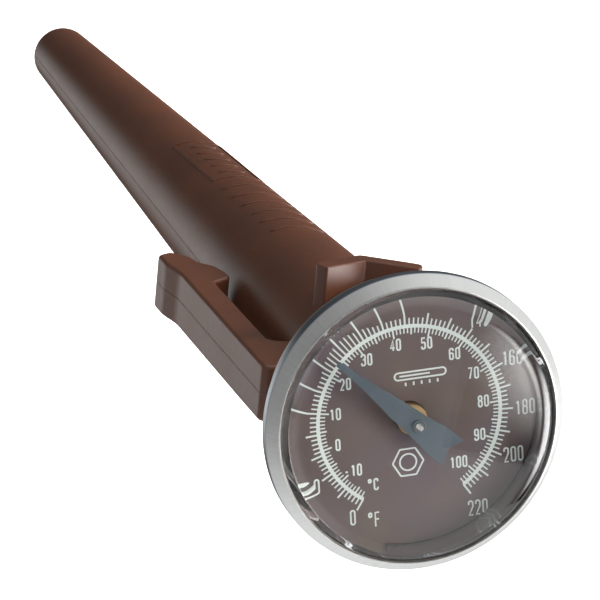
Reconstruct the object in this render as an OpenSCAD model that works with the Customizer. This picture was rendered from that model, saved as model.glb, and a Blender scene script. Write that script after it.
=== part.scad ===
// Pocket dial thermometer in its clip-on sheath.
// Millimetres. +Z runs along the stem, from its tip up to the dial. The origin is on the stem's
// axis, at the lower face of the calibration nut, where the bare stem starts.
// The pocket clip is on the -X side, and the wrench cradle on the +Y side.

/* [Head] */
// Diameter over the bezel's rim
head_od = 27.8; // [26:0.1:34]
// Depth from the rim's front edge back to the case's back face
case_depth = 5.2; // [5:0.1:7]
// Wall of the case
case_t = 0.5; // [0.3:0.05:0.8]
// Height of the bezel's straight rim
rim_h = 1.1; // [0.8:0.1:2]
// Height of the bezel's cone in front of the rim
bezel_h = 1.2; // [1.15:0.05:2]
// How much the bezel's cone narrows on each side, from the rim to its crest
bezel_inset = 0.9; // [0.8:0.01:1.1]
// Sheet thickness of the bezel
bezel_t = 0.4; // [0.25:0.01:0.5]

/* [Dial and lens] */
// Thickness of the dial plate
dial_t = 0.4; // [0.2:0.05:0.6]
// Depth of the dial's face behind the rim's front edge
dial_drop = 2.1; // [1.9:0.1:2.3]
// Angle from the +Y side round to the top of the dial, at rest
dial_turn = 8.7; // [-30:0.1:30]
// Thickness of the lens in its middle
lens_t = 1; // [0.8:0.05:1.2]
// Rise of the lens's face, from its edge to its middle
lens_dome = 1.8; // [1.7:0.1:2.3]
// Radius of the lens's rounded shoulder
lens_shoulder = 2.3; // [2.1:0.1:5]
// Thickness of the lens's skirt
skirt_t = 0.55; // [0.4:0.05:1.2]

/* [Scale] */
// Lowest reading on the outer scale
scale_low = 0; // [-40:10:20]
// Highest reading on the outer scale
scale_high = 220; // [160:20:300]
// Reading that the pointer rests at
reading = 75.5; // [40:0.5:120]
// Angle that the scale covers
scale_sweep = 293; // [240:1:320]

/* [Pointer] */
// Length of the pointer from its shaft to its tip
pointer_l = 9.9; // [6:0.1:10.5]
// Length of the pointer's tail
tail_l = 4.25; // [2:0.05:6]
// Half width of the pointer at its shaft
pointer_half_w = 1.15; // [0.9:0.05:1.6]
// Thickness of the pointer
pointer_t = 0.2; // [0.1:0.02:0.3]
// Height of the pointer's face above the dial
pointer_lift = 3; // [2.6:0.1:3.1]
// Diameter of the pointer's hub
hub_d = 1.34; // [1.2:0.02:1.7]
// Length of the pointer's hub
hub_l = 0.6; // [0.5:0.05:1.2]

/* [Calibration nut] */
// Width of the nut across its flats
nut_af = 9.5; // [9:0.1:12]
// Height of the nut
nut_h = 3.5; // [3:0.1:6]
// Diameter of the neck that the head turns on
neck_d = 6; // [5:0.1:7]
// Gap between the nut and the case, where the seal sits
seal_gap = 0.8; // [0.6:0.05:1.2]

/* [Stem] */
// Length of the stem below the nut
stem_l = 127; // [110:1:160]
// Diameter of the stem
stem_d = 3.8; // [3.4:0.1:4]
// Wall of the stem
stem_t = 0.3; // [0.2:0.05:0.4]
// Length of the stem's welded tip
tip_l = 7; // [4:0.5:10]
// Diameter of the stem's swaged top, inside the nut
spigot_d = 3.4; // [3.3:0.05:3.4]

/* [Movement] */
// Diameter of the pointer's shaft
shaft_d = 0.8; // [0.6:0.05:1]
// Outer diameter of the bimetal coil
coil_d = 2.6; // [2:0.1:2.7]
// Length of the bimetal coil
coil_l = 32; // [20:1:40]
// Turns of the bimetal coil
coil_turns = 16; // [8:1:18]
// Width of the bimetal strip
strip_w = 1; // [0.6:0.1:1.2]
// Thickness of the bimetal strip
strip_t = 0.16; // [0.1:0.02:0.3]
// Length of each guide bush
guide_l = 2; // [1:0.25:4]

/* [Sheath] */
// Outer diameter of the sheath at its mouth
sheath_d = 15.9; // [15.4:0.1:22]
// Outer diameter of the sheath where its end starts to round over
sheath_end_d = 6.5; // [6.5:0.1:10]
// Wall that closes the sheath's end
sheath_end_t = 2; // [1:0.1:4]
// Room left inside the sheath beyond the stem's tip
tip_room = 5.7; // [2:0.1:12]
// Depth of the nut's seat in the sheath's mouth
seat_depth = 1.2; // [0.8:0.1:3]
// Width of the ledge that the nut rests on
seat_ledge = 0.5; // [0.3:0.05:1]

/* [Pocket clip] */
// Width of the clip
clip_w = 5.3; // [3.5:0.1:7]
// Thickness of the clip's bar
clip_t = 2.8; // [1.8:0.1:3]
// Gap between the sheath's mouth and the line of the bar's inner face
clip_gap = 1.35; // [1.15:0.05:4]
// Length of the root that joins the clip to the sheath
clip_root_l = 8.7; // [6:0.1:14]
// Length of the bar below its root
clip_l = 30.3; // [24:0.1:45]
// Gap between the clip's foot and the sheath
foot_gap = 0.35; // [0.3:0.05:1.5]

/* [Wrench cradle] */
// How far the cradle stands out from the sheath's mouth
cradle_proud = 1.8; // [1:0.05:4]
// Depth of the flat that the nut lies on, below the sheath's mouth
flat_depth = 0.55; // [0.35:0.05:0.9]
// Thickness of the cradle's wall
cradle_t = 1.8; // [1.2:0.1:2.5]
// Distance from the sheath's mouth down to the middle of the cross hole
cross_hole_drop = 5.3; // [5:0.1:8]

/* [Fits] */
// Radial clearance of parts that turn or slide on each other
run_gap = 0.05; // [0.03:0.01:0.1]
// Clearance of parts that only pass each other
free_gap = 0.35; // [0.3:0.05:0.6]
// Clearance of the stem in the cradle's cross hole
cross_hole_gap = 0.2; // [0.15:0.05:0.4]

/* [Hidden] */
$fn = 96;
eps = 0.01;

// Levels of the head, counted up from the nut's lower face
case_back_z = nut_h + seal_gap;
case_floor_z = case_back_z + case_t;
rim_z = case_back_z + case_depth;
dial_z = rim_z - dial_drop;
crest_z = rim_z + bezel_h;

// Bezel, from its rim in to its lip
rim_r = head_od / 2;
crest_r = rim_r - bezel_inset;
lip_w = 0.2;
lip_r = crest_r - lip_w;
lip_drop = 0.55;
cone_slope = bezel_inset / bezel_h;
bezel_edge = 0.15;
curl_t = 0.36;

// Case
case_r = rim_r - 2 * bezel_t - 0.05;
case_in_r = case_r - case_t;
flange_r = rim_r - bezel_t - 0.1;
flange_top_z = rim_z - 0.05;
flange_t = rim_h - curl_t - 0.08;

// Gasket and lens
gasket_t = 0.36;
gasket_top_z = flange_top_z + gasket_t;
gasket_r = rim_r - bezel_t - cone_slope * (gasket_top_z - rim_z) - 0.05;
skirt_r = case_in_r - 0.1;
skirt_in_r = skirt_r - skirt_t;
lens_flange_z = crest_z - lip_drop - 0.1;
lens_flange_r = crest_r - max(0.05, bezel_t + 0.1 - 0.65 * cone_slope);
dome_r = lip_r - 0.08;
dome_edge_z = crest_z - 0.25;
crown_r = 7.8 * dome_r;
under_rise = 0.85;
under_z = dome_edge_z + lens_dome - lens_t - under_rise;

// Neck, washer and ring that hold the head on the nut
neck_r = neck_d / 2;
washer_t = 0.4;
washer_w = 1.4;
ring_t = 0.8;
ring_w = 1.1;
washer_z = case_floor_z + run_gap;
ring_z = washer_z + washer_t;
neck_top_z = ring_z + ring_t;
seal_section = seal_gap - 2 * run_gap;

// Dial, its spacer and the rounded corner of the case behind them
dial_r = case_in_r - 0.25;
spacer_t = 0.5;
spacer_lip = 1.6;
case_corner = min(3, dial_z - dial_t - case_back_z - 0.3);
spacer_rise = case_corner - case_t;

// Stem and movement
stem_r = stem_d / 2;
bore_r = stem_r - stem_t;
spigot_r = spigot_d / 2;
spigot_bore_r = spigot_r - stem_t;
shaft_r = shaft_d / 2;
shaft_bore_r = shaft_r + run_gap;
tube_end_z = tip_l - stem_l;
tip_plug_l = 1.2;
anchor_l = 1;
anchor_top_z = tube_end_z + tip_plug_l + anchor_l;
coil_top_z = anchor_top_z + coil_l;
coil_r = coil_d / 2;
collar_z = coil_top_z + run_gap;
collar_l = 2;
lower_guide_z = collar_z + collar_l + free_gap;
guide_collar_top_z = dial_z + 0.9;
tip_round_r = 1.2;
coil_steps = 16;

// Hub and pointer
hub_r = hub_d / 2;
pointer_z = dial_z + pointer_lift - pointer_t;
hub_z = pointer_z - 0.3;
shaft_top_z = hub_z + hub_l + 0.12;
dial_hole_r = spigot_bore_r + 2 * run_gap;
pointer_rest = dial_turn + (0.5 - (reading - scale_low) / (scale_high - scale_low)) * scale_sweep;

// Sheath
nut_corner_r = nut_af / sqrt(3);
mouth_z = seat_depth;
mouth_r = sheath_d / 2;
seat_r = nut_corner_r + run_gap;
ledge_z = -run_gap;
bore_top_r = seat_r - seat_ledge;
bore_end_z = -stem_l - tip_room;
bore_end_r = stem_r + 0.65;
sheath_end_z = bore_end_z - sheath_end_t;
sheath_end_r = sheath_end_d / 2;
end_round = 2;
sheath_slope = (mouth_r - sheath_end_r) / (mouth_z - sheath_end_z);

// Clip
clip_reach = mouth_r + clip_gap;
hinge_r = clip_t / 2;
hinge_x = -clip_reach - hinge_r;
hinge_z = mouth_z - clip_root_l;
clip_end_z = hinge_z - clip_l;
foot_z = clip_end_z + 7.8;
foot_x = -sheath_r(foot_z) - foot_gap;
socket_r = hinge_r + run_gap;

// Cradle
cradle_reach = mouth_r + cradle_proud;
cradle_flat = mouth_r - flat_depth;
cross_hole_z = mouth_z - cross_hole_drop;
cradle_vertex_z = cross_hole_z - nut_corner_r;
cradle_side_l = nut_corner_r - 0.3;
cradle_angle = 30;

// Radius of the sheath's outer skin at height z
function sheath_r(z) = mouth_r - sheath_slope * (mouth_z - z);

// Points of an arc about (cx, cy), from angle a0 to a1, both included
function arc(cx, cy, r, a0, a1, n) = [
    for (i = [0 : n]) let (a = a0 + (a1 - a0) * i / n) [cx + r * cos(a), cy + r * sin(a)]
];

// Points of a flat arc through (r_edge, z_edge), rising to z_edge + rise on the axis
function dome(r_edge, z_edge, rise, n) =
    let (ball_r = (r_edge * r_edge + rise * rise) / (2 * rise), span = asin(r_edge / ball_r))
    arc(0, z_edge + rise - ball_r, ball_r, 90 - span, 90, n);

// Points of a wide crown of radius r_crown with a rounded shoulder of radius r_turn, from its edge
// at (r_edge, z_edge) up to the axis
function crown(r_edge, z_edge, rise, r_crown, r_turn, n) =
    let (reach = norm([r_edge, r_crown - rise]),
         arm = r_crown - r_turn,
         spread = acos((reach * reach + arm * arm - r_turn * r_turn) / (2 * reach * arm)),
         tilt = atan2(r_edge, r_crown - rise) - spread,
         cx = arm * sin(tilt),
         cy = z_edge + rise - r_crown + arm * cos(tilt))
    concat(
        arc(cx, cy, r_turn, atan2(z_edge - cy, r_edge - cx), 90 - tilt, n),
        [for (i = [1 : n]) arc(0, z_edge + rise - r_crown, r_crown, 90 - tilt, 90, n)[i]]
    );

// A ring of rectangular section
module ring(r_out, r_in, z, h) {
    translate([0, 0, z])
        difference() {
            cylinder(r = r_out, h = h);
            translate([0, 0, -eps]) cylinder(r = r_in, h = h + 2 * eps);
        }
}

// The outer skin of the sheath, with its end rounded over
module sheath_skin() {
    rotate_extrude()
        polygon(concat(
            [[0, mouth_z], [mouth_r - 0.3, mouth_z], [mouth_r, mouth_z - 0.3]],
            arc(sheath_end_r - end_round, sheath_end_z + end_round, end_round, 0, -90, 6),
            [[0, sheath_end_z]]
        ));
}

// The nut's seat and the tapered bore below it
module sheath_bore() {
    rotate_extrude()
        polygon([
            [0, mouth_z + 1], [seat_r + 0.3, mouth_z + 1], [seat_r + 0.3, mouth_z],
            [seat_r, mouth_z - 0.3], [seat_r, ledge_z], [bore_top_r, ledge_z],
            [bore_end_r, bore_end_z + 1], [bore_end_r - 1, bore_end_z], [0, bore_end_z]
        ]);
}

// The V that the nut's flats lie in, as seen along +Y
module cradle_profile() {
    reach = cradle_side_l;
    for (side = [-1, 1])
        translate([0, cradle_vertex_z])
            mirror([side < 0 ? 1 : 0, 0])
                polygon([
                    [0, 0],
                    [reach * cos(cradle_angle), reach * sin(cradle_angle)],
                    [reach * cos(cradle_angle) + cradle_t * sin(cradle_angle),
                     reach * sin(cradle_angle) - cradle_t * cos(cradle_angle)],
                    [0, -cradle_t / cos(cradle_angle)]
                ]);
}

module sheath() {
    color("saddlebrown")
        difference() {
            union() {
                difference() {
                    sheath_skin();
                    // flat that the nut lies on while the head is turned
                    translate([-mouth_r, cradle_flat, cradle_vertex_z])
                        cube([sheath_d, mouth_r, mouth_z - cradle_vertex_z + 1]);
                }
                rotate([90, 0, 0])
                    translate([0, 0, -cradle_reach])
                        linear_extrude(height = cradle_reach - seat_r + 1)
                            cradle_profile();
                // root of the clip
                translate([hinge_x - hinge_r, -clip_w / 2, hinge_z + free_gap])
                    cube([-hinge_x + hinge_r - seat_r, clip_w, clip_root_l - free_gap]);
            }
            sheath_bore();
            rotate([90, 0, 0])
                translate([0, cross_hole_z, 0])
                    cylinder(r = stem_r + cross_hole_gap, h = 4 * mouth_r, center = true);
            // socket that the clip flexes in
            translate([hinge_x, 0, hinge_z])
                rotate([90, 0, 0])
                    cylinder(r = socket_r, h = 2 * clip_w, center = true);
        }
}

module pocket_clip() {
    outer_x = hinge_x - hinge_r;
    inner_x = hinge_x + hinge_r;
    color("saddlebrown")
        rotate([90, 0, 0])
            linear_extrude(height = clip_w, center = true)
                union() {
                    translate([hinge_x, hinge_z]) circle(r = hinge_r);
                    polygon([
                        [outer_x, hinge_z], [outer_x + 0.1, foot_z - 0.2],
                        [outer_x - 0.5, foot_z - 3.5], [outer_x - 0.5, clip_end_z + 1.6],
                        [outer_x - 0.1, clip_end_z + 0.4], [outer_x + 1.2, clip_end_z],
                        [inner_x - 0.1, clip_end_z + 1.9], [inner_x + 0.3, clip_end_z + 3.8],
                        [foot_x - 0.55, foot_z - 2.8], [foot_x, foot_z - 0.6],
                        [foot_x, foot_z + 0.5], [foot_x - 0.2, foot_z + 1.3],
                        [inner_x + 0.2, foot_z + 2.5], [inner_x, foot_z + 3.3], [inner_x, hinge_z]
                    ]);
                }
}

module stem_tube() {
    color("silver")
        rotate_extrude()
            polygon([
                [bore_r, tube_end_z], [stem_r, tube_end_z], [stem_r, 0],
                [spigot_r, 0], [spigot_r, neck_top_z], [spigot_bore_r, neck_top_z],
                [spigot_bore_r, -1], [bore_r, -1 - stem_t]
            ]);
}

module stem_tip() {
    color("silver")
        rotate_extrude()
            polygon(concat(
                [[0, tube_end_z + tip_plug_l], [bore_r, tube_end_z + tip_plug_l],
                 [bore_r, tube_end_z], [stem_r, tube_end_z]],
                arc(0, -stem_l + tip_round_r, tip_round_r, 0, -90, 8)
            ));
}

module calibration_nut() {
    chamfer = nut_corner_r - nut_af / 2;
    color("lightgray")
        difference() {
            union() {
                intersection() {
                    cylinder(r = nut_corner_r, h = nut_h, $fn = 6);
                    rotate_extrude()
                        polygon([
                            [0, 0], [nut_af / 2, 0], [nut_corner_r, chamfer * 0.7],
                            [nut_corner_r, nut_h - chamfer * 0.7], [nut_af / 2, nut_h], [0, nut_h]
                        ]);
                }
                cylinder(r = neck_r, h = neck_top_z);
            }
            translate([0, 0, -eps]) cylinder(r = spigot_r, h = neck_top_z + 2 * eps);
        }
}

module stem_seal() {
    color("dimgray")
        translate([0, 0, nut_h + seal_gap / 2])
            rotate_extrude()
                translate([neck_r + seal_section / 2 + run_gap, 0])
                    circle(d = seal_section, $fn = 32);
}

module friction_washer() {
    color("gainsboro") ring(neck_r + washer_w, neck_r, washer_z, washer_t);
}

module retaining_ring() {
    color("gainsboro") ring(neck_r + ring_w, neck_r, ring_z, ring_t);
}

module upper_guide() {
    bottom_z = neck_top_z - guide_l;
    color("goldenrod") ring(spigot_bore_r, shaft_bore_r, bottom_z, guide_collar_top_z - bottom_z);
}

module lower_guide() {
    color("goldenrod") ring(bore_r, shaft_bore_r, lower_guide_z, guide_l);
}

module coil_anchor() {
    color("goldenrod")
        translate([0, 0, tube_end_z + tip_plug_l]) cylinder(r = bore_r, h = anchor_l);
}

// Corners of the strip's section at step i of the coil
function strip_section(i) =
    let (a = 360 * i / coil_steps,
         z = anchor_top_z + (coil_l - strip_w) * i / (coil_turns * coil_steps),
         inner = coil_r - strip_t)
    [
        [coil_r * cos(a), coil_r * sin(a), z],
        [coil_r * cos(a), coil_r * sin(a), z + strip_w],
        [inner * cos(a), inner * sin(a), z + strip_w],
        [inner * cos(a), inner * sin(a), z]
    ];

module bimetal_coil() {
    steps = coil_turns * coil_steps;
    points = [for (i = [0 : steps]) each strip_section(i)];
    sides = [
        for (i = [0 : steps - 1], k = [0 : 3])
            let (next = (k + 1) % 4)
            [4 * i + k, 4 * i + next, 4 * i + 4 + next, 4 * i + 4 + k]
    ];
    color("darkgoldenrod")
        polyhedron(
            points = points,
            faces = concat([[3, 2, 1, 0]], sides, [[for (k = [0 : 3]) 4 * steps + k]]),
            convexity = 10
        );
}

module coil_collar() {
    color("goldenrod") ring(coil_r, shaft_r, collar_z, collar_l);
}

module pointer_shaft() {
    flat_w = 0.4;
    color("whitesmoke")
        difference() {
            translate([0, 0, collar_z]) cylinder(r = shaft_r, h = shaft_top_z - collar_z);
            rotate([0, 0, pointer_rest])
                for (side = [-1, 1])
                    translate([side * (flat_w / 2 + shaft_r) - shaft_r, -shaft_r, hub_z + hub_l])
                        cube([shaft_d, shaft_d, 1]);
        }
}

module pointer_hub() {
    color("lightslategray") ring(hub_r, shaft_r, hub_z, hub_l);
}

module pointer() {
    tail_w = pointer_half_w + 0.35;
    color("slategray")
        translate([0, 0, pointer_z])
            rotate([0, 0, pointer_rest])
                difference() {
                    linear_extrude(height = pointer_t)
                        polygon([
                            [-0.24, pointer_l], [0.24, pointer_l], [0.4, pointer_l * 0.7],
                            [pointer_half_w * 0.82, pointer_l * 0.27], [pointer_half_w, 0],
                            [tail_w - 0.03, -tail_l * 0.53], [tail_w, -tail_l], [0, -tail_l + 0.7],
                            [-tail_w, -tail_l], [0.03 - tail_w, -tail_l * 0.53],
                            [-pointer_half_w, 0], [-pointer_half_w * 0.82, pointer_l * 0.27],
                            [-0.4, pointer_l * 0.7]
                        ]);
                    translate([0, 0, -eps]) cylinder(r = hub_r, h = pointer_t + 2 * eps);
                }
}

module head_case() {
    hole_r = neck_r + run_gap;
    color("silver")
        rotate_extrude()
            polygon(concat(
                [[hole_r, case_back_z]],
                arc(case_r - case_corner, case_back_z + case_corner, case_corner, -90, 0, 6),
                [[case_r, flange_top_z - flange_t], [flange_r, flange_top_z - flange_t],
                 [flange_r, flange_top_z], [case_in_r, flange_top_z]],
                arc(case_r - case_corner, case_back_z + case_corner, case_corner - case_t, 0, -90, 6),
                [[hole_r, case_floor_z]]
            ));
}

module dial_spacer() {
    lip_z = dial_z - dial_t - spacer_t;
    foot_r = dial_r - spacer_rise - spacer_t * sqrt(2);
    color("white")
        rotate_extrude()
            polygon([
                [dial_r - spacer_rise, case_floor_z], [dial_r, case_floor_z + spacer_rise],
                [dial_r, dial_z - dial_t], [dial_r - spacer_lip, dial_z - dial_t],
                [dial_r - spacer_lip, lip_z], [foot_r + lip_z - case_floor_z, lip_z],
                [foot_r, case_floor_z]
            ]);
}

module dial_plate() {
    color("rosybrown") ring(dial_r, dial_hole_r, dial_z - dial_t, dial_t);
}

module lens() {
    color("white", 0.35)
        rotate_extrude()
            polygon(concat(
                [[skirt_in_r, dial_z], [skirt_r, dial_z], [skirt_r, gasket_top_z],
                 [lens_flange_r, gasket_top_z], [lens_flange_r, lens_flange_z],
                 [dome_r, lens_flange_z]],
                crown(dome_r, dome_edge_z, lens_dome, crown_r, lens_shoulder, 10),
                [for (i = [0 : 16]) dome(skirt_in_r, under_z, under_rise, 16)[16 - i]]
            ));
}

module lens_gasket() {
    color("gainsboro") ring(gasket_r, skirt_r + 0.05, flange_top_z, gasket_t);
}

module bezel_ring() {
    cone_top_z = crest_z - 0.35;
    cone_top_r = rim_r - cone_slope * (cone_top_z - rim_z);
    inner_r = rim_r - bezel_t;
    inner_top_z = crest_z - lip_drop;
    color("silver")
        rotate_extrude()
            polygon([
                [case_r + 0.05, rim_z - rim_h], [rim_r - bezel_edge, rim_z - rim_h],
                [rim_r, rim_z - rim_h + bezel_edge], [rim_r, rim_z - bezel_edge],
                [rim_r - cone_slope * bezel_edge, rim_z + bezel_edge],
                [cone_top_r, cone_top_z], [crest_r, crest_z - 0.08], [crest_r - 0.07, crest_z],
                [lip_r + 0.06, crest_z], [lip_r, crest_z - 0.08], [lip_r, inner_top_z],
                [inner_r - cone_slope * (inner_top_z - rim_z), inner_top_z],
                [inner_r, rim_z], [inner_r, rim_z - rim_h + curl_t],
                [case_r + 0.05, rim_z - rim_h + curl_t]
            ]);
}

sheath();
pocket_clip();
stem_tube();
stem_tip();
calibration_nut();
stem_seal();
friction_washer();
retaining_ring();
upper_guide();
lower_guide();
coil_anchor();
bimetal_coil();
head_case();
dial_spacer();
dial_plate();
lens();
lens_gasket();
bezel_ring();
pointer();
pointer_hub();
pointer_shaft();
coil_collar();
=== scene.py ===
"""Pocket dial thermometer in its clip-on sheath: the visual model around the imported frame.

The frame gives every place and size. Each sub-assembly is a class that shapes its pieces in
millimetres, writes them in metres, and dresses them with one of the finishes.
"""
import logging
import math
from dataclasses import dataclass, field
from enum import Enum
from typing import Callable, Iterable, Sequence, Union

import bmesh
import bpy
from mathutils import Matrix, Vector


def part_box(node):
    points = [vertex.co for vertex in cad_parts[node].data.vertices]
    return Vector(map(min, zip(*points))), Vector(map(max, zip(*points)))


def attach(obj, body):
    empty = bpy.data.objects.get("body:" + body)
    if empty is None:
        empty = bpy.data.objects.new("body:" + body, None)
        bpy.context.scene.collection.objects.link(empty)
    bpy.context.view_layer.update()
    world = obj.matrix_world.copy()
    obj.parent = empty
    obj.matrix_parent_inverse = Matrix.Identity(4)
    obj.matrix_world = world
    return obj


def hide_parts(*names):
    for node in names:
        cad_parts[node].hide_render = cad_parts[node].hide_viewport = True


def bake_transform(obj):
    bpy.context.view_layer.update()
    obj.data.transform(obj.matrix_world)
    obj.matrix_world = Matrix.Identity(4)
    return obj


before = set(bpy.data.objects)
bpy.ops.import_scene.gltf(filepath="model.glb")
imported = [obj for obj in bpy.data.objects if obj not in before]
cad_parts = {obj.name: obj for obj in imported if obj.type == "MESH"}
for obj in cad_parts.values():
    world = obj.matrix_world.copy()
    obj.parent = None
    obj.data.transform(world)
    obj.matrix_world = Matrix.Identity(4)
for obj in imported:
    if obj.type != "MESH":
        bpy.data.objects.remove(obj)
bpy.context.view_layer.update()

LOG = logging.getLogger("thermometer")
MM = 0.001
Colour = tuple[float, float, float]
Point = tuple[float, float]
Corner = tuple[float, float, float]


# ---------------------------------------------------------------- shader maths


class Signal:
    """A number that varies over a surface; operators on it add Math nodes to its sheet."""

    def __init__(self, sheet: "Sheet", socket: bpy.types.NodeSocket) -> None:
        """Wraps one output socket of the sheet."""
        self.sheet = sheet
        self.socket = socket

    def __add__(self, other: "Number") -> "Signal":
        """self + other."""
        return self.sheet.maths("ADD", self, other)

    __radd__ = __add__

    def __sub__(self, other: "Number") -> "Signal":
        """self - other."""
        return self.sheet.maths("SUBTRACT", self, other)

    def __rsub__(self, other: "Number") -> "Signal":
        """other - self."""
        return self.sheet.maths("SUBTRACT", other, self)

    def __mul__(self, other: "Number") -> "Signal":
        """self * other."""
        return self.sheet.maths("MULTIPLY", self, other)

    __rmul__ = __mul__

    def __truediv__(self, other: "Number") -> "Signal":
        """self / other."""
        return self.sheet.maths("DIVIDE", self, other)

    def __pow__(self, other: "Number") -> "Signal":
        """self to the power other."""
        return self.sheet.maths("POWER", self, other)

    def __lt__(self, other: "Number") -> "Signal":
        """1 where self is below other, else 0."""
        return self.sheet.maths("LESS_THAN", self, other)

    def __abs__(self) -> "Signal":
        """The size of self."""
        return self.sheet.maths("ABSOLUTE", self)

    def fade(self, start: float, end: float) -> "Signal":
        """0 at start, 1 at end, and smooth in between.

        Args:
            start: value of self where the result is 0.
            end: value of self where the result is 1.

        Returns:
            The faded signal.
        """
        node = self.sheet.node(
            "ShaderNodeMapRange",
            {"interpolation_type": "SMOOTHSTEP"},
            {"Value": self, "From Min": start, "From Max": end, "To Min": 0.0, "To Max": 1.0},
        )
        return Signal(self.sheet, node.outputs["Result"])


Number = Union[Signal, float]


class Sheet:
    """One material's node tree, written as expressions."""

    def __init__(self, name: str, world: bool = False) -> None:
        """Starts an empty node tree.

        Args:
            name: the material's name.
            world: whether it is the light of the surroundings and not a material.
        """
        self.material = (bpy.data.worlds if world else bpy.data.materials).new(name)
        self.material.use_nodes = True
        self.tree = self.material.node_tree
        self.tree.nodes.clear()
        self._place: bpy.types.NodeSocket | None = None

    def node(self, kind: str, settings: dict | None = None, inputs: dict | None = None) -> bpy.types.Node:
        """Adds a node.

        Args:
            kind: the node's type.
            settings: properties of the node, set before its sockets are.
            inputs: socket names or numbers, and the value, socket or Signal for each.

        Returns:
            The new node.
        """
        made = self.tree.nodes.new(kind)
        for key, value in (settings or {}).items():
            setattr(made, key, value)
        for key, value in (inputs or {}).items():
            if isinstance(value, Signal):
                value = value.socket
            if isinstance(value, bpy.types.NodeSocket):
                self.tree.links.new(value, made.inputs[key])
            else:
                made.inputs[key].default_value = value
        return made

    def maths(self, operation: str, *values: Number) -> Signal:
        """One Math node.

        Args:
            operation: the node's operation.
            values: its inputs, in order.

        Returns:
            The node's result.
        """
        made = self.node("ShaderNodeMath", {"operation": operation}, dict(enumerate(values)))
        return Signal(self, made.outputs[0])

    @property
    def place(self) -> bpy.types.NodeSocket:
        """The object coordinates.

        Returns:
            The socket that gives them, in metres; every later call gives the same one.
        """
        if self._place is None:
            self._place = self.node("ShaderNodeTexCoord").outputs["Object"]
        return self._place

    def axes(self) -> tuple[Signal, Signal, Signal]:
        """The object coordinates as three numbers, in millimetres."""
        parts = self.node("ShaderNodeSeparateXYZ", None, {0: self.place}).outputs
        return tuple(Signal(self, part) / MM for part in parts)

    def vector(self, x: Number, y: Number, z: Number) -> bpy.types.NodeSocket:
        """Three numbers as one vector."""
        return self.node("ShaderNodeCombineXYZ", None, {0: x, 1: y, 2: z}).outputs[0]

    def noise(self, scale: float, detail: float = 3.0, at: bpy.types.NodeSocket | None = None,
              rough: float = 0.5) -> Signal:
        """Fractal noise from 0 to 1.

        Args:
            scale: features per unit of the coordinates.
            detail: octaves.
            at: the coordinates, or None for the object's own in metres.
            rough: how strong the finer octaves are.

        Returns:
            The noise.
        """
        made = self.node(
            "ShaderNodeTexNoise",
            {"noise_dimensions": "3D"},
            {"Vector": at or self.place, "Scale": scale, "Detail": detail, "Roughness": rough},
        )
        return Signal(self, made.outputs[0])

    def mix(self, amount: Number, low: Union[Colour, bpy.types.NodeSocket],
            high: Union[Colour, bpy.types.NodeSocket]) -> bpy.types.NodeSocket:
        """Mixes two colours.

        Args:
            amount: share of the high colour.
            low: the colour at 0.
            high: the colour at 1.

        Returns:
            The mixed colour.
        """
        low, high = (c if isinstance(c, bpy.types.NodeSocket) else (*c, 1.0) for c in (low, high))
        made = self.node(
            "ShaderNodeMix",
            {"data_type": "RGBA", "blend_type": "MIX", "clamp_factor": True},
            {0: amount, 6: low, 7: high},
        )
        return made.outputs[2]

    def bump(self, height: Signal, strength: float, distance: float,
             under: bpy.types.NodeSocket | None = None) -> bpy.types.NodeSocket:
        """A normal bent by a height.

        Args:
            height: the height, from 0 to 1.
            strength: how much of it shows.
            distance: the height of 1, in metres.
            under: a normal that this bump lies on.

        Returns:
            The bent normal.
        """
        values = {"Height": height, "Strength": strength, "Distance": distance}
        if under is not None:
            values["Normal"] = under
        return self.node("ShaderNodeBump", None, values).outputs[0]

    def finish(self, **sockets: object) -> bpy.types.Material:
        """Ends the sheet with one principled surface.

        Args:
            sockets: the surface's sockets, with _ for a space.

        Returns:
            The finished material.
        """
        inputs = {key.replace("_", " "): value for key, value in sockets.items()}
        for key, value in inputs.items():
            if isinstance(value, tuple) and len(value) == 3 and key.endswith("Color"):
                inputs[key] = (*value, 1.0)
        surface = self.node("ShaderNodeBsdfPrincipled", None, inputs)
        self.node("ShaderNodeOutputMaterial", None, {"Surface": surface.outputs[0]})
        return self.material


# ------------------------------------------------------------------- finishes


@dataclass(frozen=True)
class MouldedPlastic:
    """Satin moulded plastic with a faint flow pattern, a fine grain and a parting line."""

    name: str = "sheath_plastic"
    colour: Colour = (0.112, 0.045, 0.026)
    warm: Colour = (0.135, 0.050, 0.025)
    roughness: float = 0.36
    parting_half_w: float = 0.09
    translucency: float = 0.12

    def make(self) -> bpy.types.Material:
        """Builds the material.

        Returns:
            The material.
        """
        sheet = Sheet(self.name)
        x, y, _ = sheet.axes()
        flow = sheet.noise(140.0, 3.0)
        grain = sheet.noise(2600.0, 2.0)
        parting = (1.0 - abs(y).fade(self.parting_half_w * 0.4, self.parting_half_w)) * (x < 0.0)
        base = sheet.mix(flow.fade(0.30, 0.75), self.colour, self.warm)
        base = sheet.mix(parting * 0.45, base, tuple(c * 0.4 for c in self.colour))
        base = sheet.mix(grain.fade(0.35, 0.65) * 0.10, base, tuple(c * 1.8 for c in self.colour))
        normal = sheet.bump(grain, 0.30, 0.02 * MM)
        normal = sheet.bump(sheet.noise(420.0, 2.0), 0.12, 0.08 * MM, normal)
        normal = sheet.bump(parting, 0.55, 0.06 * MM, normal)
        return sheet.finish(
            Base_Color=base,
            Roughness=self.roughness + 0.10 * flow - 0.05 * grain,
            Normal=normal,
            IOR=1.49,
            Subsurface_Weight=self.translucency,
            Subsurface_Radius=(1.0, 0.32, 0.12),
            Subsurface_Scale=1.1 * MM,
        )


class Lay(Enum):
    """Which way the marks of a metal finish run."""

    RADIAL = "radial"
    TURNED = "turned"
    DRAWN = "drawn"


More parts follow.
